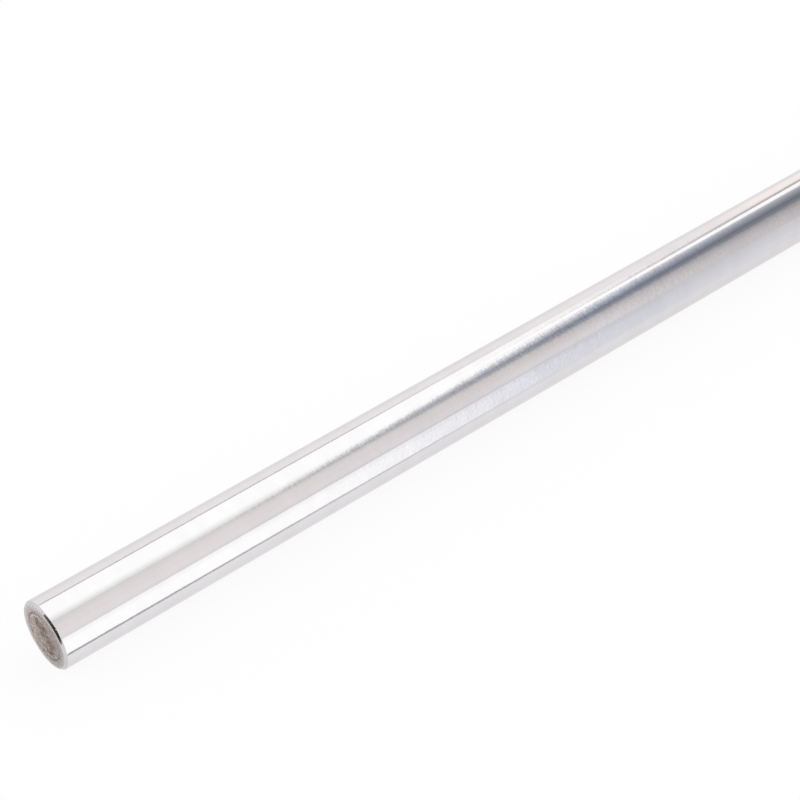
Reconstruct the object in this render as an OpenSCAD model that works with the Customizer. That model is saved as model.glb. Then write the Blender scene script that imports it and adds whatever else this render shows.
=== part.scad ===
// Linear shaft: a hardened, ground and hard-chromed round bar with a chamfer on each end.
// It lies along X, with the origin on its axis halfway between the two end faces. Millimetres, +Z up.

/* [Shaft] */
// Diameter of the ground and plated running surface
shaft_d = 12; // [6:1:60]
// Overall length, from end face to end face
shaft_length = 300; // [50:10:1000]

/* [Ends] */
// Length of each chamfer along the shaft, before its edges are rounded
chamfer_length = 0.4; // [0.2:0.1:1.5]
// Angle between the chamfer and the shaft's axis
chamfer_angle = 45; // [30:5:60]
// Radius that rounds the chamfer into the running surface
shoulder_radius = 0.3; // [0.1:0.1:1]
// Radius that breaks the edge between the chamfer and the end face
edge_radius = 0.2; // [0.1:0.1:1]

/* [Hidden] */
$fn = 128;

shaft_r = shaft_d / 2;
half_length = shaft_length / 2;

// The chamfer's slanted face, and how far it goes in from the running surface
chamfer_slant = chamfer_length / cos(chamfer_angle);
chamfer_depth = chamfer_length * tan(chamfer_angle);

// Half of the turn that the outline makes at each of the chamfer's two edges
shoulder_half_turn = chamfer_angle / 2;
edge_half_turn = (90 - chamfer_angle) / 2;

// The two rounds leave a flat band between them, so each may take only its share of the slanted face
shoulder_share = 0.6;
edge_share = 0.3;
shoulder_r = min(shoulder_radius, shoulder_share * chamfer_slant / tan(shoulder_half_turn));
edge_r = min(edge_radius, edge_share * chamfer_slant / tan(edge_half_turn));
shoulder_reach = shoulder_r * tan(shoulder_half_turn);
edge_reach = edge_r * tan(edge_half_turn);

// The section is drawn as [distance out from the running surface, distance out from the end face].
// These are its two corners, and the centres of the circles that round them.
shoulder_corner = [0, -chamfer_length];
shoulder_centre = shoulder_corner - [shoulder_r, shoulder_reach];
edge_corner = [-chamfer_depth, 0];
edge_centre = edge_corner - [edge_reach, edge_r];

// Triangle from a round's centre out past its corner, between the directions square to its two walls
module corner_cut(radius, from_angle, to_angle) {
    reach = 2 * radius;
    polygon([
        [0, 0],
        reach * [cos(from_angle), sin(from_angle)],
        reach * [cos(to_angle), sin(to_angle)]
    ]);
}

// What rounding a corner takes off: the triangle outside the circle
module corner_waste(radius, from_angle, to_angle) {
    difference() {
        corner_cut(radius, from_angle, to_angle);
        circle(radius);
    }
}

// Half of the lengthwise section, from mid-length to the end face
module half_section() {
    difference() {
        polygon([[-shaft_r, -half_length], [0, -half_length], shoulder_corner, edge_corner, [-shaft_r, 0]]);
        translate(shoulder_centre) corner_waste(shoulder_r, 0, chamfer_angle);
        translate(edge_centre) corner_waste(edge_r, chamfer_angle, 90);
    }
}

// The whole bar, turned from its section and laid along X
module shaft() {
    color("gainsboro")
        rotate([0, 90, 0])
            rotate_extrude() {
                translate([shaft_r, half_length]) half_section();
                translate([shaft_r, -half_length]) mirror([0, 1]) half_section();
            }
}

shaft();
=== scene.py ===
import math

import bpy
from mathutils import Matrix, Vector, noise


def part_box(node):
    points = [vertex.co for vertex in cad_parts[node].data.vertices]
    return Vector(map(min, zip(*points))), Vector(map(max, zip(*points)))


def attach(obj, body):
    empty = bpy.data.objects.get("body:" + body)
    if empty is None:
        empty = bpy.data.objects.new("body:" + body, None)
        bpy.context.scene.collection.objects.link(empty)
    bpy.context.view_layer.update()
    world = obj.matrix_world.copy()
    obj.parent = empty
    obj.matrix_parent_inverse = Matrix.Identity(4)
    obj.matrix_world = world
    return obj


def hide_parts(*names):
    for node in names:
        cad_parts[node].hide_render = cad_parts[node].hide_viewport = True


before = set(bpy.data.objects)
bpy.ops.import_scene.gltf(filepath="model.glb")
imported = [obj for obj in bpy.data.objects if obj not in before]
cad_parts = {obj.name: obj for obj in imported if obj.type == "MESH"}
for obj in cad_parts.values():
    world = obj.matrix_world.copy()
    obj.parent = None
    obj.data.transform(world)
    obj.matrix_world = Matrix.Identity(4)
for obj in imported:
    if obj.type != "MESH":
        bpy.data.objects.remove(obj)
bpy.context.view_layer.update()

# Sizes are in metres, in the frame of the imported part: the shaft lies along X with +Z up.
MM = 0.001
_, shaft_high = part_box("shaft")
HALF_LENGTH = shaft_high.x
SHAFT_R = shaft_high.z

# The end's profile, as the solid has it
CHAMFER = 0.4 * MM
SHOULDER_R = 0.3 * MM
EDGE_R = 0.2 * MM
CHAMFER_ANGLE = math.radians(45)
FACE_R = SHAFT_R - CHAMFER * math.tan(CHAMFER_ANGLE)

# How finely the bar is turned, and the step of the shoulder's round from which it is plated
SEGMENTS = 384
FACE_RING_STEP = 0.11 * MM
ARC_STEPS = 8
CHAMFER_STEPS = 4
PLATED_FROM_STEP = 3
SUPPORT_GAP = 0.06 * MM
BODY_STEPS = 30

# Relief of the end faces: a fine scribed ring at the edge of the hardened case, and a grainy core inside it
CASE_RING_R = 0.686 * SHAFT_R
CASE_RING_HALF_WIDTH = 0.11 * MM
CASE_RING_DEPTH = 0.035 * MM
CORE_EDGE = 6 * CASE_RING_HALF_WIDTH
CORE_GRAIN = 0.4 * MM
CORE_DEPTH = 0.02 * MM

# Pits in the near end's face, and the brown stain on it: (y, z) of each spot, in shares of SHAFT_R
PITS = ((0.33, -0.24), (0.12, -0.45), (0.135, -0.65), (0.285, 0.285), (0.0, 0.28), (-0.225, -0.45))
PIT_R = 0.26 * MM
PIT_DEPTH = 0.06 * MM
STAIN = (
    (0.2, 0.26),
    (-0.02, 0.3),
    (0.0, 0.1),
    (-0.16, -0.02),
    (-0.33, -0.06),
    (-0.28, -0.24),
    (-0.2, -0.42),
)
STAIN_R = 1.8 * MM
STAIN_RAGGED = 0.7 * MM

# A small nick in the near end's chamfer. Its angle is from +Y towards +Z, and its inset from the end face.
NICK_ANGLE = math.radians(128.3)
NICK_HALF_ANGLE = math.radians(1.6)
NICK_INSET = 0.34 * MM
NICK_REACH = 0.09 * MM
NICK_DEPTH = 0.05 * MM

# Material slots of the bar
RUNNING, CHAMFERED, FACED = range(3)

# Most of a noise lies in these ranges about its middle. Grit is the strength of its finer detail.
NOISE_RANGE = (0.3, 0.7)
NARROW_NOISE_RANGE = (0.32, 0.68)
NOISE_MIDDLE = 0.5
NOISE_GRIT = 0.6

# Chrome: the share of light that it reflects, its tones, and its grinding marks, waves and strokes. Scales
# are in changes per metre along X, Y and Z, and the strokes' lean is over the whole range of their noise.
CHROME = (0.82, 0.82, 0.825)
CHROME_TONES = (0.985, 1.015)
CHROME_ROUGHNESS = (0.045, 0.07)
MARK_SCALES = (2400.0, 900.0, 900.0)
MARK_DEPTH = 5e-6
WAVE_SCALES = (320.0, 120.0, 120.0)
WAVE_DEPTH = 16e-6
STROKE_SCALES = (4200.0, 1800.0, 1800.0)
STROKE_LEAN = (0.066, 0.02, 0.02)

# Turned steel of the chamfer
CHAMFER_DULL = (0.66, 0.66, 0.67)
CHAMFER_BRIGHT = (0.73, 0.73, 0.74)
CHAMFER_ROUGHNESS = (0.09, 0.15)
TOOL_RING_SCALES = (9000.0, 200.0, 200.0)
TOOL_RING_DEPTH = 0.8e-6

# Steel of the end faces: the core, the case around it, and the dark ring between them with its border
CORE_STEEL = (0.425, 0.367, 0.328)
CASE_STEEL = (0.43, 0.39, 0.375)
RIM_STEEL = (0.65, 0.63, 0.61)
RIM_RADII = (0.7 * SHAFT_R, 0.93 * SHAFT_R)
BORDER_STEEL = (0.66, 0.62, 0.59)
BORDER_R = CASE_RING_R - 0.4 * MM
BORDER_REACH = 0.35 * MM
BORDER_SHARE = 0.45
RING_DARK = (0.12, 0.095, 0.085)
RING_REACH = 0.18 * MM
RING_SHARE = 0.75
# Painted light and shade: where on a face the ring and its border are painted stronger, and how much
PAINTED_LIGHT_SIDES = (-0.12 * SHAFT_R ** 2, 0.12 * SHAFT_R ** 2)
PAINTED_LIGHT_SHARES = (0.3, 1.0)

# The stain's colour, its edges and its veins, and the pits' colour
STAIN_BROWN = (0.19, 0.13, 0.095)
STAIN_EDGES = (0.15 * STAIN_R, STAIN_R)
STAIN_SCALE = 900.0
VEIN_SCALE = 800.0
VEIN_DETAIL = 1.0
VEIN_WIDTH = 0.08
VEIN_SHARES = (1.0, 0.62)
PIT_DARK = (0.1, 0.08, 0.07)
PIT_EDGES = (0.4 * PIT_R, 1.2 * PIT_R)
PIT_SHARE = 0.9

# Speckle of the end faces, weaker outside the ring, and painted light that pales a face towards one side
FINE_SCALE = 3300.0
FINE_TONES = (0.62, 1.38)
FINE_DEPTH = 14e-6
BLOTCH_SCALE = 1500.0
BLOTCH_TONES = (0.72, 1.28)
SPECKLE_RADII = (CASE_RING_R, 0.85 * SHAFT_R)
SPECKLE_STRENGTHS = (1.0, 0.4)
PAINTED_SIDE_LIGHT_LEAN = 0.3
PAINTED_SIDE_LIGHT_REACH = (-0.8 * SHAFT_R, 0.8 * SHAFT_R)
PAINTED_SIDE_LIGHT_TONES = (0.89, 1.11)
FACE_ROUGHNESS = (0.4, 0.5)

# Camera: its place from the centre of the near end face, where it points, and its field of view
CAMERA_FROM_END = Vector((-98.44, -203.2, 248.7)) * MM
CAMERA_TILT = math.radians(47.64)
CAMERA_TURN = math.radians(-39.77)
CAMERA_CLIP = 0.01
FOCAL_PX = 2159
IMAGE_PX = 800
SENSOR_MM = 36

# The floor is white, and part of what the camera sees of it is a plain glow
WHITE = (1.0, 1.0, 1.0)
FLOOR_HALF = 4.0
FLOOR_COLOUR = (0.95, 0.95, 0.95)
FLOOR_GLOW = 0.87

# A small dark card hangs past the near end, where the chamfer mirrors it
CARD_GAP = 14 * MM
CARD_FRONT = -12.2 * MM
CARD_BACK = 6.8 * MM
CARD_BOTTOM = -1.3 * MM
CARD_TOP = 12.6 * MM
CARD_LIGHT = (0.034, 0.031, 0.029)

# In the studio, an angle is in degrees about the shaft: 0 is the front horizon, 90 is up, 180 is the back
# horizon. A place along the shaft is the part of a direction that points along +X. A pair is where a change
# or a band starts and ends. The pairs named EDGES are half widths of a band's soft edges, and the pairs of
# the patch, and the first pair of each seam and fold, are a middle and a reach.
FULL_TURN = 360.0
WRAP_BELOW = -120.0
FLOOR_LIGHT = (1.05, 1.05, 1.05)

# The tent's front wall, the floor that it stands on, and its back wall
WALL_LIGHT = (0.887, 0.847, 0.866)
HIGH_WALL_LIGHT = (1.05, 0.926, 0.893)
HIGH_WALL_FAR_LIGHT = (1.0, 0.925, 0.935)
HIGH_WALL_ANGLES = (28.0, 80.0)
HIGH_WALL_FADE = (0.5, 0.6)
UNDER_LIGHT = (0.843, 0.817, 0.83)
LOW_LIGHT = (0.925, 0.894, 0.928)
LOW_ANGLES = (-95.0, -45.0)
LOW_TOP = (-40.0, -34.0)
BACK_LIGHT = (0.963, 0.918, 0.923)
BACK_FAR_LIGHT = (1.105, 1.003, 0.978)
BACK_FADE = (0.604, 0.631)
BACK_TOP = (143.0, 149.0)
BACK_FOOT = (165.0, 200.0)

# The softbox over the shaft, and the slanting shadow of its frame
BOX_LIGHT = (1.204, 1.188, 1.192)
BOX_FAR_LOW_LIGHT = (0.838, 0.863, 0.954)
BOX_FAR_HIGH_LIGHT = (0.97, 0.925, 0.935)
BOX_FAR_ANGLES = (108.0, 126.0)
BOX_FADE = (0.488, 0.612)
BOX_ANGLES = (65.9, 144.8)
BOX_EDGES = (22.0, 3.0)
FRAME_SLANT = -118.0
FRAME_LOWER = (52.0, 61.2)
FRAME_UPPER = (61.2, 73.2)
FRAME_START = (0.53, 0.64)
FRAME_DEPTH = 0.52

# The dark gap below that softbox. The shade under it and a lit patch lie on the wall. Its upper edge climbs
# by two slopes, each with its angle where x is nought, up to a highest angle.
SHADE_ANGLES = (-159.6, 74.0)
SHADE_POWER = 2.11
SHADE_TOP = (74.0, 82.0)
SHADE_START = (0.361, 1.247)
SHADE_DEPTH = 1.977
PATCH_LIGHT = (1.0, 0.97, 0.99)
PATCH_PLACE = (0.545, 0.05)
PATCH_ANGLES = (32.0, 30.0)
PATCH_SHARE = 0.28
GAP_NEAR_EDGE = (240.0, -17.0)
GAP_FAR_EDGE = (177.0, 14.3)
GAP_HIGHEST = 126.0
GAP_FADE_RATE = -0.046
GAP_LOWER = (64.1, 86.1)
GAP_LIGHT = (0.02, 0.051, 0.145)
GAP_FAR_LIGHT = (0.1, 0.11, 0.14)
GAP_FADE = (0.56, 0.62)

# The bare edge of the overhead lamp, between two slanting edges
LAMP_LIGHT = (1.3, 1.264, 1.263)
LAMP_LOWER_SLANT = -18.6
LAMP_LOWER = (103.7, 107.7)
LAMP_UPPER_SLANT = -110.0
LAMP_UPPER = (59.9, 66.5)
LAMP_SHARE = 0.75

# The softbox low in front of the shaft
FRONT_MIDDLE_LIGHT = (0.708, 0.723, 0.817)
FRONT_MIDDLE_FADE = (0.406, 0.6)
FRONT_FAR_LOW_LIGHT = (0.816, 0.803, 0.844)
FRONT_FAR_HIGH_LIGHT = (0.706, 0.696, 0.729)
FRONT_FAR_ANGLES = (-35.0, 20.0)
FRONT_FAR_FADE = (0.504, 0.632)
FRONT_ANGLES = (-36.0, 17.9)
FRONT_EDGES = (1.7, 0.5)
FRONT_START = (-0.7, -0.2)

# Shaded lines in the tent: each one's angles, where it shows along the shaft, and its depth
BACK_SEAM = (148.4, 2.7)
BACK_SEAM_END = (0.415, 0.558)
BACK_SEAM_DEPTH = 0.596
LOW_SEAM = (-37.9, 6.3)
LOW_SEAM_PLACE = (-0.25, 0.44)
LOW_SEAM_EDGES = (0.25, 0.14)
LOW_SEAM_DEPTH = 0.636
FRONT_FOLD = (15.0, 14.9)
FRONT_FOLD_END = (0.527, 0.659)
FRONT_FOLD_DEPTH = 0.064
WALL_FOLD = (62.0, 29.2)
WALL_FOLD_DEPTH = 0.12
GAP_SEAM = (75.0, 4.0)
GAP_SEAM_PLACE = (0.0, 0.49)
GAP_SEAM_EDGES = (0.2, 0.05)
GAP_SEAM_DEPTH = 0.095
FRONT_SEAM = (20.8, 3.6)
FRONT_SEAM_PLACE = (0.36, 0.58)
FRONT_SEAM_EDGES = (0.06, 0.05)
FRONT_SEAM_DEPTH = 0.075
HIGH_FOLD = (75.5, 24.3)
HIGH_FOLD_END = (0.736, 1.534)
HIGH_FOLD_DEPTH = 0.223


class Graph:
    """Short names for the nodes that the world and the materials are made of."""

    def __init__(self, tree):
        self.tree = tree
        tree.nodes.clear()

    def node(self, kind, inputs=(), **settings):
        """A node of this kind, with its settings, and its inputs set or linked by name or number."""
        made = self.tree.nodes.new(kind)
        for name, value in settings.items():
            setattr(made, name, value)
        for name, value in dict(inputs).items():
            self.feed(made.inputs[name], value)
        return made

    def feed(self, socket, value):
        if isinstance(value, bpy.types.NodeSocket):
            self.tree.links.new(value, socket)
        else:
            socket.default_value = value

    def math(self, operation, first, second=0.0, third=0.0):
        made = self.node("ShaderNodeMath", {0: first, 1: second, 2: third}, operation=operation)
        return made.outputs[0]

    def times(self, first, *others):
        for other in others:
            first = self.math("MULTIPLY", first, other)
        return first

    def slope(self, value, low, high):
        """Climbs evenly from nought to one while the value goes from low to high."""
        return self.node("ShaderNodeMapRange", {0: value, 1: low, 2: high}).outputs[0]

    def rise(self, value, low, high, to_low=0.0, to_high=1.0):
        """Goes smoothly from to_low to to_high while the value goes from low to high."""
        inputs = {0: value, 1: low, 2: high, 3: to_low, 4: to_high}
        made = self.node("ShaderNodeMapRange", inputs, interpolation_type="SMOOTHSTEP")
        return made.outputs[0]

    def fall(self, value, low, high):
        """Drops smoothly from one to nought while the value goes from low to high."""
        return self.rise(value, low, high, 1.0, 0.0)

    def band(self, value, low, high, low_edge, high_edge):
        """One between low and high, nought outside, with soft edges of these half widths."""
        up = self.rise(value, low - low_edge, low + low_edge)
        down = self.fall(value, high - high_edge, high + high_edge)
        return self.math("MULTIPLY", up, down)

    def line(self, value, centre, reach):
        """One where the value is at the centre, and nought past this reach on either side of it."""
        up = self.rise(value, centre - reach, centre)
        down = self.fall(value, centre, centre + reach)
        return self.math("MULTIPLY", up, down)

    def darken(self, light, where, depth):
        return self.mix(self.math("MULTIPLY", where, depth), light, rgba((0.0, 0.0, 0.0)))

    def mix(self, share, first, second):
        """Blends two colours; a share of one is all the second."""
        made = self.node("ShaderNodeMix", data_type="RGBA")
        self.feed(made.inputs["Factor"], share)
        self.feed(made.inputs[6], first)
        self.feed(made.inputs[7], second)
        return made.outputs[2]

    def noise(self, vector, scale, detail=2.0, roughness=0.5, output="Fac"):
        inputs = {"Vector": vector, "Scale": scale, "Detail": detail, "Roughness": roughness}
        return self.node("ShaderNodeTexNoise", inputs).outputs[output]

    def stretched(self, vector, scales):
        """The vector with each of its parts multiplied."""
        return self.vector("MULTIPLY", vector, scales)

    def vector(self, operation, first, second):
        """A vector made from two others."""
        return self.node("ShaderNodeVectorMath", {0: first, 1: second}, operation=operation).outputs[0]

    def scaled(self, vector, amount):
        inputs = {0: vector, "Scale": amount}
        return self.node("ShaderNodeVectorMath", inputs, operation="SCALE").outputs[0]

    def bump(self, height, depth, after=None):
        inputs = {"Height": height, "Distance": depth, "Strength": 1.0}
        if after is not None:
            inputs["Normal"] = after
        return self.node("ShaderNodeBump", inputs).outputs[0]

    def object_point(self):
        return self.node("ShaderNodeTexCoord").outputs["Object"]

    def split(self, vector):
        return self.node("ShaderNodeSeparateXYZ", {0: vector}).outputs

    def radius(self, vector):
        """Distance from the shaft's axis."""
        flat = self.stretched(vector, (0.0, 1.0, 1.0))
        return self.node("ShaderNodeVectorMath", {0: flat}, operation="LENGTH").outputs["Value"]


def rgba(colour):
    return (*colour, 1.0)


def new_material(name):
    material = bpy.data.materials.new(name)
    material.use_nodes = True
    return material, Graph(material.node_tree)


def metal(graph, colour, roughness, normal):
    """Finishes a material as a bare metal."""
    inputs = {"Base Color": colour, "Metallic": 1.0, "Roughness": roughness, "Normal": normal}
    shader = graph.node("ShaderNodeBsdfPrincipled", inputs)
    graph.node("ShaderNodeOutputMaterial", {"Surface": shader.outputs[0]})


def leaning(graph, normal, point):
    """The normal, leaning a little to one side or another in each short stroke of the wheel."""
    strokes = graph.noise(graph.stretched(point, STROKE_SCALES), 1.0, output="Color")
    middle = (NOISE_MIDDLE, NOISE_MIDDLE, NOISE_MIDDLE)
    lean = graph.stretched(graph.vector("SUBTRACT", strokes, middle), STROKE_LEAN)
    leant = graph.vector("ADD", normal, lean)
    return graph.node("ShaderNodeVectorMath", {0: leant}, operation="NORMALIZE").outputs[0]


def running_material():
    """Ground and hard-chromed surface: a mirror with the fine marks of the grinding wheel around it."""
    material, graph = new_material("hard_chrome")
    point = graph.object_point()
    marks = graph.noise(graph.stretched(point, MARK_SCALES), 1.0, roughness=NOISE_GRIT)
    waves = graph.noise(graph.stretched(point, WAVE_SCALES), 1.0)
    normal = graph.bump(waves, WAVE_DEPTH)
    normal = leaning(graph, graph.bump(marks, MARK_DEPTH, normal), point)
    roughness = graph.rise(marks, *NOISE_RANGE, *CHROME_ROUGHNESS)
    dull, bright = (rgba([tone * channel for channel in CHROME]) for tone in CHROME_TONES)
    colour = graph.mix(graph.rise(waves, *NOISE_RANGE), dull, bright)
    metal(graph, colour, roughness, normal)
    return material


def chamfer_material():
    """Chamfer turned after plating: bright steel, with fine rings from the tool."""
    material, graph = new_material("turned_chamfer")
    point = graph.object_point()
    rings = graph.noise(graph.stretched(point, TOOL_RING_SCALES), 1.0)
    normal = graph.bump(rings, TOOL_RING_DEPTH)
    roughness = graph.rise(rings, *NOISE_RANGE, *CHAMFER_ROUGHNESS)
    colour = graph.mix(rings, rgba(CHAMFER_DULL), rgba(CHAMFER_BRIGHT))
    metal(graph, colour, roughness, normal)
    return material


def spots(graph, point, places, inner, outer, ragged=0.0):
    """One within the inner radius of each place on the face, and nought past the outer one."""
    share = 0.0
    for y, z in places:
        centre = (0.0, y * SHAFT_R, z * SHAFT_R)
        offset = graph.vector("SUBTRACT", point, centre)
        distance = graph.math("ADD", graph.radius(offset), ragged)
        share = graph.math("MAXIMUM", share, graph.fall(distance, inner, outer))
    return share


def stained(graph, colour, point, near_end):
    """The colour with the near end's brown stain over it, strongest along its veins."""
    ragged = graph.rise(graph.noise(point, STAIN_SCALE), *NOISE_RANGE, -STAIN_RAGGED, STAIN_RAGGED)
    stain = graph.times(spots(graph, point, STAIN, *STAIN_EDGES, ragged), near_end)
    off_vein = graph.math("SUBTRACT", graph.noise(point, VEIN_SCALE, VEIN_DETAIL), NOISE_MIDDLE)
    off_vein = graph.math("ABSOLUTE", off_vein)
    share = graph.times(stain, graph.rise(off_vein, 0.0, VEIN_WIDTH, *VEIN_SHARES))
    return graph.mix(share, colour, rgba(STAIN_BROWN))


def face_colour(graph, point):
    """Steel that pales towards the rim, with a dark ring where the hardened case ends. Painted shade makes
    the ring darker, and painted light makes its border paler, on two sides of the face. On the near end it
    is stained and pitted."""
    radius = graph.radius(point)
    x, y, z = graph.split(point)
    near_end = graph.math("LESS_THAN", x, 0.0)
    case = graph.mix(graph.rise(radius, *RIM_RADII), rgba(CASE_STEEL), rgba(RIM_STEEL))
    in_case = graph.rise(radius, CASE_RING_R - CASE_RING_HALF_WIDTH, CASE_RING_R)
    colour = graph.mix(in_case, rgba(CORE_STEEL), case)
    colour = stained(graph, colour, point, near_end)

    # Painted shade darkens the ring, and painted light pales the border inside it, most on two sides of the
    # face
    lit = graph.rise(graph.math("MULTIPLY", y, z), *PAINTED_LIGHT_SIDES, *PAINTED_LIGHT_SHARES)
    border = graph.times(graph.line(radius, BORDER_R, BORDER_REACH), lit, BORDER_SHARE)
    colour = graph.mix(border, colour, rgba(BORDER_STEEL))
    ring = graph.times(graph.line(radius, CASE_RING_R, RING_REACH), lit, RING_SHARE)
    colour = graph.mix(ring, colour, rgba(RING_DARK))
    pits = graph.times(spots(graph, point, PITS, *PIT_EDGES), near_end, PIT_SHARE)
    return graph.mix(pits, colour, rgba(PIT_DARK))


def face_material():
    """Sawn and ground end face of satin steel, speckled all over. Painted light makes it a little paler
    towards one side.
    """
    material, graph = new_material("ground_face")
    point = graph.object_point()
    fine = graph.noise(point, FINE_SCALE, roughness=NOISE_GRIT)
    blotches = graph.noise(point, BLOTCH_SCALE, roughness=NOISE_GRIT)
    speckle = graph.times(
        graph.rise(fine, *NARROW_NOISE_RANGE, *FINE_TONES),
        graph.rise(blotches, *NARROW_NOISE_RANGE, *BLOTCH_TONES),
    )
    strength = graph.rise(graph.radius(point), *SPECKLE_RADII, *SPECKLE_STRENGTHS)
    speckle = graph.math("MULTIPLY_ADD", graph.math("SUBTRACT", speckle, 1.0), strength, 1.0)
    # Painted light: each face is painted paler towards one side
    _, y, z = graph.split(point)
    painted_light_axis = graph.math("MULTIPLY_ADD", z, PAINTED_SIDE_LIGHT_LEAN, y)
    speckle = graph.times(speckle, graph.rise(painted_light_axis, *PAINTED_SIDE_LIGHT_REACH, *PAINTED_SIDE_LIGHT_TONES))
    colour = graph.scaled(face_colour(graph, point), speckle)
    normal = graph.bump(fine, FINE_DEPTH)
    roughness = graph.rise(blotches, *NOISE_RANGE, *FACE_ROUGHNESS)
    metal(graph, colour, roughness, normal)
    return material


def arc_points(centre, radius, from_angle, to_angle):
    """Points along an arc of the end's profile; an angle of nought points away from the axis."""
    points = []
    for step in range(ARC_STEPS + 1):
        angle = from_angle + (to_angle - from_angle) * step / ARC_STEPS
        points.append((centre[0] - radius * math.sin(angle), centre[1] + radius * math.cos(angle)))
    return points


def end_profile():
    """(distance from the end face, radius, slot of the band that follows), from the face's centre out."""
    shoulder_reach = SHOULDER_R * math.tan(CHAMFER_ANGLE / 2)
    edge_half_turn = (math.pi / 2 - CHAMFER_ANGLE) / 2
    edge_reach = EDGE_R * math.tan(edge_half_turn)
    flat_r = FACE_R - edge_reach
    rings = math.ceil(flat_r / FACE_RING_STEP)
    profile = [(0.0, flat_r * ring / rings, FACED) for ring in range(1, rings)]
    edge_centre = (EDGE_R, flat_r)
    edge = arc_points(edge_centre, EDGE_R, math.pi / 2, CHAMFER_ANGLE)
    shoulder_centre = (CHAMFER + shoulder_reach, SHAFT_R - SHOULDER_R)
    shoulder = arc_points(shoulder_centre, SHOULDER_R, CHAMFER_ANGLE, 0.0)
    profile += [(*point, CHAMFERED) for point in edge]
    start = Vector(edge[-1])
    end = Vector(shoulder[0])
    for step in range(1, CHAMFER_STEPS):
        profile.append((*start.lerp(end, step / CHAMFER_STEPS), CHAMFERED))
    for step, point in enumerate(shoulder):
        profile.append((*point, CHAMFERED if step < PLATED_FROM_STEP else RUNNING))
    profile.append((shoulder[-1][0] + SUPPORT_GAP, SHAFT_R, RUNNING))
    return profile


def face_relief(y, z, end):
    """How deep the end face lies at a point, below the flat that it was ground to."""
    radius = math.hypot(y, z)
    beside_ring = abs(radius - CASE_RING_R) / CASE_RING_HALF_WIDTH
    depth = CASE_RING_DEPTH * max(0.0, 1.0 - beside_ring) ** 2
    core = min(1.0, max(0.0, (CASE_RING_R - radius) / CORE_EDGE))
    place = Vector((y, z, end * SHAFT_R))
    depth += core * CORE_DEPTH * (1.0 + noise.noise(place / CORE_GRAIN))
    if end < 0:
        for pit_y, pit_z in PITS:
            distance = math.hypot(y - pit_y * SHAFT_R, z - pit_z * SHAFT_R)
            depth += PIT_DEPTH * math.exp(-(distance / PIT_R) ** 2)
    return depth


def nick(inset, angle):
    """How far the nick cuts into the near end's chamfer."""
    along = (inset - NICK_INSET) / NICK_REACH
    around = (angle - NICK_ANGLE) / NICK_HALF_ANGLE
    return NICK_DEPTH * math.exp(-along ** 2 - around ** 2)


def ring_points(inset, radius, end):
    """The points of one ring, this far in from the near end (end -1) or the far one (end 1)."""
    points = []
    for segment in range(SEGMENTS):
        angle = 2 * math.pi * segment / SEGMENTS
        depth = inset
        ring_r = radius
        if inset == 0.0:
            depth = face_relief(radius * math.cos(angle), radius * math.sin(angle), end)
        elif end < 0:
            ring_r -= nick(inset, angle)
        points.append((end * (HALF_LENGTH - depth), ring_r * math.cos(angle), ring_r * math.sin(angle)))
    return points


def shaft_rings():
    """(points of the ring, slot of the band towards the next ring), from the near end to the far one."""
    profile = end_profile()
    rings = [(ring_points(inset, radius, -1), slot) for inset, radius, slot in profile]
    body_start = profile[-1][0]
    body_length = HALF_LENGTH - body_start
    for step in range(1, BODY_STEPS):
        inset = body_start + 2 * body_length * step / BODY_STEPS
        rings.append((ring_points(inset, SHAFT_R, -1), RUNNING))
    slots = [slot for _, _, slot in profile]
    for index in reversed(range(len(profile))):
        inset, radius, _ = profile[index]
        before = slots[index - 1] if index else FACED
        rings.append((ring_points(inset, radius, 1), before))
    return rings


def shaft_mesh():
    """The whole bar as one closed turned mesh."""
    rings = shaft_rings()
    points = [(-HALF_LENGTH, 0.0, 0.0)]
    for ring, _ in rings:
        points += ring
    points.append((HALF_LENGTH, 0.0, 0.0))
    faces = []
    slots = []
    last = 1 + (len(rings) - 1) * SEGMENTS
    for segment in range(SEGMENTS):
        after = (segment + 1) % SEGMENTS
        faces.append((0, 1 + after, 1 + segment))
        slots.append(FACED)
        for ring, (_, slot) in enumerate(rings[:-1]):
            here = 1 + ring * SEGMENTS
            there = here + SEGMENTS
            faces.append((here + segment, here + after, there + after, there + segment))
            slots.append(slot)
        faces.append((last + segment, last + after, len(points) - 1))
        slots.append(FACED)
    mesh = bpy.data.meshes.new("shaft_bar")
    mesh.from_pydata(points, [], faces)
    mesh.polygons.foreach_set("material_index", slots)
    mesh.polygons.foreach_set("use_smooth", [True] * len(faces))
    mesh.validate()
    return mesh


def make_shaft():
    mesh = shaft_mesh()
    for material in (running_material(), chamfer_material(), face_material()):
        mesh.materials.append(material)
    bar = bpy.data.objects.new("shaft_bar", mesh)
    bpy.context.scene.collection.objects.link(bar)
    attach(bar, "root")
    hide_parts("shaft")


def tent_walls(graph, x, around):
    """The tent's pale cloth: its front wall, the floor that it stands on, and its back wall."""
    high = graph.mix(graph.rise(x, *HIGH_WALL_FADE), rgba(HIGH_WALL_LIGHT), rgba(HIGH_WALL_FAR_LIGHT))
    light = graph.mix(graph.rise(around, *HIGH_WALL_ANGLES), rgba(WALL_LIGHT), high)
    low = graph.mix(graph.rise(around, *LOW_ANGLES), rgba(UNDER_LIGHT), rgba(LOW_LIGHT))
    light = graph.mix(graph.fall(around, *LOW_TOP), light, low)
    back = graph.mix(graph.rise(x, *BACK_FADE), rgba(BACK_LIGHT), rgba(BACK_FAR_LIGHT))
    back = graph.mix(graph.rise(around, *BACK_FOOT), back, rgba(UNDER_LIGHT))
    return graph.mix(graph.rise(around, *BACK_TOP), light, back)


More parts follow.
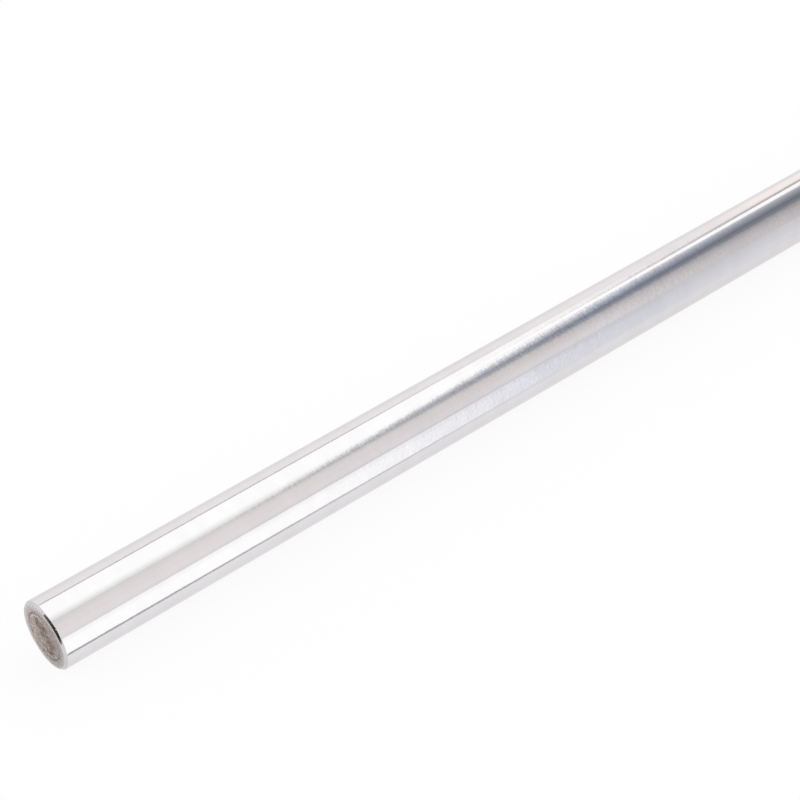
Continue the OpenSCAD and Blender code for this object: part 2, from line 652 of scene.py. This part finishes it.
def overhead_box(graph, light, x, around):
    """Softbox over the shaft, dimmer towards its far end, where the shadow of its frame crosses it."""
    high = graph.rise(around, *BOX_FAR_ANGLES)
    far = graph.mix(high, rgba(BOX_FAR_LOW_LIGHT), rgba(BOX_FAR_HIGH_LIGHT))
    colour = graph.mix(graph.rise(x, *BOX_FADE), rgba(BOX_LIGHT), far)
    light = graph.mix(graph.band(around, *BOX_ANGLES, *BOX_EDGES), light, colour)
    slant = graph.math("MULTIPLY_ADD", x, FRAME_SLANT, around)
    frame_line = graph.times(
        graph.rise(slant, *FRAME_LOWER),
        graph.fall(slant, *FRAME_UPPER),
        graph.rise(x, *FRAME_START),
    )
    return graph.darken(light, frame_line, FRAME_DEPTH)


def shaded_wall(graph, light, x, around):
    """The light with the shade under the gap on the wall, and the lit patch in it."""
    shade = graph.times(
        graph.math("POWER", graph.slope(around, *SHADE_ANGLES), SHADE_POWER),
        graph.fall(around, *SHADE_TOP),
        graph.rise(x, *SHADE_START),
    )
    light = graph.darken(light, shade, SHADE_DEPTH)
    patch = graph.times(graph.line(x, *PATCH_PLACE), graph.line(around, *PATCH_ANGLES), PATCH_SHARE)
    return graph.mix(patch, light, rgba(PATCH_LIGHT))


def dark_gap(graph, light, x, around):
    """The unlit gap between the softbox and the front wall. The light fades into it from an upper edge that
    climbs towards the far end."""
    light = shaded_wall(graph, light, x, around)
    near_edge = graph.math("MULTIPLY_ADD", x, *GAP_NEAR_EDGE)
    far_edge = graph.math("MULTIPLY_ADD", x, *GAP_FAR_EDGE)
    upper_edge = graph.math("MINIMUM", graph.math("MINIMUM", near_edge, far_edge), GAP_HIGHEST)
    depth = graph.math("MAXIMUM", graph.math("SUBTRACT", upper_edge, around), 0.0)
    left_over = graph.math("EXPONENT", graph.math("MULTIPLY", depth, GAP_FADE_RATE))
    gap = graph.times(graph.math("SUBTRACT", 1.0, left_over), graph.rise(around, *GAP_LOWER))
    colour = graph.mix(graph.rise(x, *GAP_FADE), rgba(GAP_LIGHT), rgba(GAP_FAR_LIGHT))
    return graph.mix(gap, light, colour)


def lamp_line(graph, light, x, around):
    """The bare edge of the overhead lamp, along the top of the gap towards the far end."""
    above_gap = graph.math("MULTIPLY_ADD", x, LAMP_LOWER_SLANT, around)
    below_frame = graph.math("MULTIPLY_ADD", x, LAMP_UPPER_SLANT, around)
    lamp = graph.times(
        graph.rise(above_gap, *LAMP_LOWER),
        graph.fall(below_frame, *LAMP_UPPER),
        LAMP_SHARE,
    )
    return graph.mix(lamp, light, rgba(LAMP_LIGHT))


def front_box(graph, light, x, around):
    """Softbox low in front of the shaft, dimmer towards its far end."""
    colour = graph.mix(graph.rise(x, *FRONT_MIDDLE_FADE), rgba(BOX_LIGHT), rgba(FRONT_MIDDLE_LIGHT))
    high = graph.rise(around, *FRONT_FAR_ANGLES)
    far = graph.mix(high, rgba(FRONT_FAR_LOW_LIGHT), rgba(FRONT_FAR_HIGH_LIGHT))
    colour = graph.mix(graph.rise(x, *FRONT_FAR_FADE), colour, far)
    box = graph.times(graph.band(around, *FRONT_ANGLES, *FRONT_EDGES), graph.rise(x, *FRONT_START))
    return graph.mix(box, light, colour)


def seams(graph, light, x, around):
    """Shaded lines where the softboxes and the cloth meet, and the soft folds of the front wall."""
    back = graph.times(graph.line(around, *BACK_SEAM), graph.fall(x, *BACK_SEAM_END))
    light = graph.darken(light, back, BACK_SEAM_DEPTH)
    low = graph.times(graph.line(around, *LOW_SEAM), graph.band(x, *LOW_SEAM_PLACE, *LOW_SEAM_EDGES))
    light = graph.darken(light, low, LOW_SEAM_DEPTH)
    front_fold = graph.times(graph.line(around, *FRONT_FOLD), graph.fall(x, *FRONT_FOLD_END))
    light = graph.darken(light, front_fold, FRONT_FOLD_DEPTH)
    light = graph.darken(light, graph.line(around, *WALL_FOLD), WALL_FOLD_DEPTH)
    gap = graph.times(graph.line(around, *GAP_SEAM), graph.band(x, *GAP_SEAM_PLACE, *GAP_SEAM_EDGES))
    light = graph.darken(light, gap, GAP_SEAM_DEPTH)
    in_front = graph.band(x, *FRONT_SEAM_PLACE, *FRONT_SEAM_EDGES)
    front = graph.times(graph.line(around, *FRONT_SEAM), in_front)
    light = graph.darken(light, front, FRONT_SEAM_DEPTH)
    high_fold = graph.times(graph.line(around, *HIGH_FOLD), graph.fall(x, *HIGH_FOLD_END))
    return graph.darken(light, high_fold, HIGH_FOLD_DEPTH)


def studio_light(graph, x, around):
    """The light that comes from each direction: a light tent with softboxes that run along the shaft.
    x is the direction's part along the shaft, and around is its angle about the shaft."""
    light = tent_walls(graph, x, around)
    light = overhead_box(graph, light, x, around)
    light = dark_gap(graph, light, x, around)
    light = lamp_line(graph, light, x, around)
    light = front_box(graph, light, x, around)
    return seams(graph, light, x, around)


def make_world():
    """A light tent that metal and glass see. The floor gets even light, and the camera sees plain white."""
    world = bpy.data.worlds.new("studio")
    world.use_nodes = True
    graph = Graph(world.node_tree)
    direction = graph.node("ShaderNodeTexCoord").outputs["Generated"]
    x, y, z = graph.split(direction)
    around = graph.math("ARCTAN2", z, graph.math("MULTIPLY", y, -1.0))
    around = graph.math("DEGREES", around)
    wrapped = graph.math("LESS_THAN", around, WRAP_BELOW)
    around = graph.math("MULTIPLY_ADD", wrapped, FULL_TURN, around)
    path = graph.node("ShaderNodeLightPath").outputs
    mirrored = graph.math("MAXIMUM", path["Is Glossy Ray"], path["Is Transmission Ray"])
    colour = graph.mix(mirrored, rgba(FLOOR_LIGHT), studio_light(graph, x, around))
    colour = graph.mix(path["Is Camera Ray"], colour, rgba(WHITE))
    background = graph.node("ShaderNodeBackground", {"Color": colour, "Strength": 1.0})
    graph.node("ShaderNodeOutputWorld", {"Surface": background.outputs[0]})
    bpy.context.scene.world = world


def stage_sheet(name, corners, material):
    """A flat sheet of the studio, which casts no shadow and isn't part of the object."""
    mesh = bpy.data.meshes.new(name)
    mesh.from_pydata(corners, [], [(0, 1, 2, 3)])
    mesh.materials.append(material)
    sheet = bpy.data.objects.new(name, mesh)
    bpy.context.scene.collection.objects.link(sheet)
    sheet.visible_shadow = False
    return sheet


def make_floor():
    """White floor under the shaft. It keeps the shaft's shadow, and the metal looks past it to the tent."""
    material, graph = new_material("floor_white")
    diffuse = graph.node("ShaderNodeBsdfDiffuse", {"Color": rgba(FLOOR_COLOUR)})
    glow = graph.node("ShaderNodeEmission", {"Color": rgba(WHITE), "Strength": 1.0})
    seen = graph.node("ShaderNodeLightPath").outputs["Is Camera Ray"]
    share = graph.math("MULTIPLY", seen, FLOOR_GLOW)
    surface = graph.node("ShaderNodeMixShader", {0: share, 1: diffuse.outputs[0], 2: glow.outputs[0]})
    graph.node("ShaderNodeOutputMaterial", {"Surface": surface.outputs[0]})
    half = FLOOR_HALF
    z = -SHAFT_R
    corners = [(-half, -half, z), (half, -half, z), (half, half, z), (-half, half, z)]
    floor = stage_sheet("floor", corners, material)
    floor.visible_glossy = False


def make_card():
    """Dark card past the near end, which shows only where the metal mirrors it."""
    material, graph = new_material("card_dark")
    glow = graph.node("ShaderNodeEmission", {"Color": rgba(CARD_LIGHT), "Strength": 1.0})
    graph.node("ShaderNodeOutputMaterial", {"Surface": glow.outputs[0]})
    x = -HALF_LENGTH - CARD_GAP
    bottom = [(x, CARD_FRONT, CARD_BOTTOM), (x, CARD_BACK, CARD_BOTTOM)]
    top = [(x, CARD_BACK, CARD_TOP), (x, CARD_FRONT, CARD_TOP)]
    card = stage_sheet("card", bottom + top, material)
    card.visible_camera = False
    card.visible_diffuse = False


def make_camera():
    data = bpy.data.cameras.new("camera")
    data.sensor_width = SENSOR_MM
    data.lens = SENSOR_MM * FOCAL_PX / IMAGE_PX
    data.clip_start = CAMERA_CLIP
    camera = bpy.data.objects.new("camera", data)
    bpy.context.scene.collection.objects.link(camera)
    camera.location = Vector((-HALF_LENGTH, 0.0, 0.0)) + CAMERA_FROM_END
    camera.rotation_euler = (CAMERA_TILT, 0.0, CAMERA_TURN)
    bpy.context.scene.camera = camera


make_shaft()
make_world()
make_floor()
make_card()
make_camera()
bpy.context.scene.view_settings.view_transform = "Standard"

bpy.context.view_layer.update()
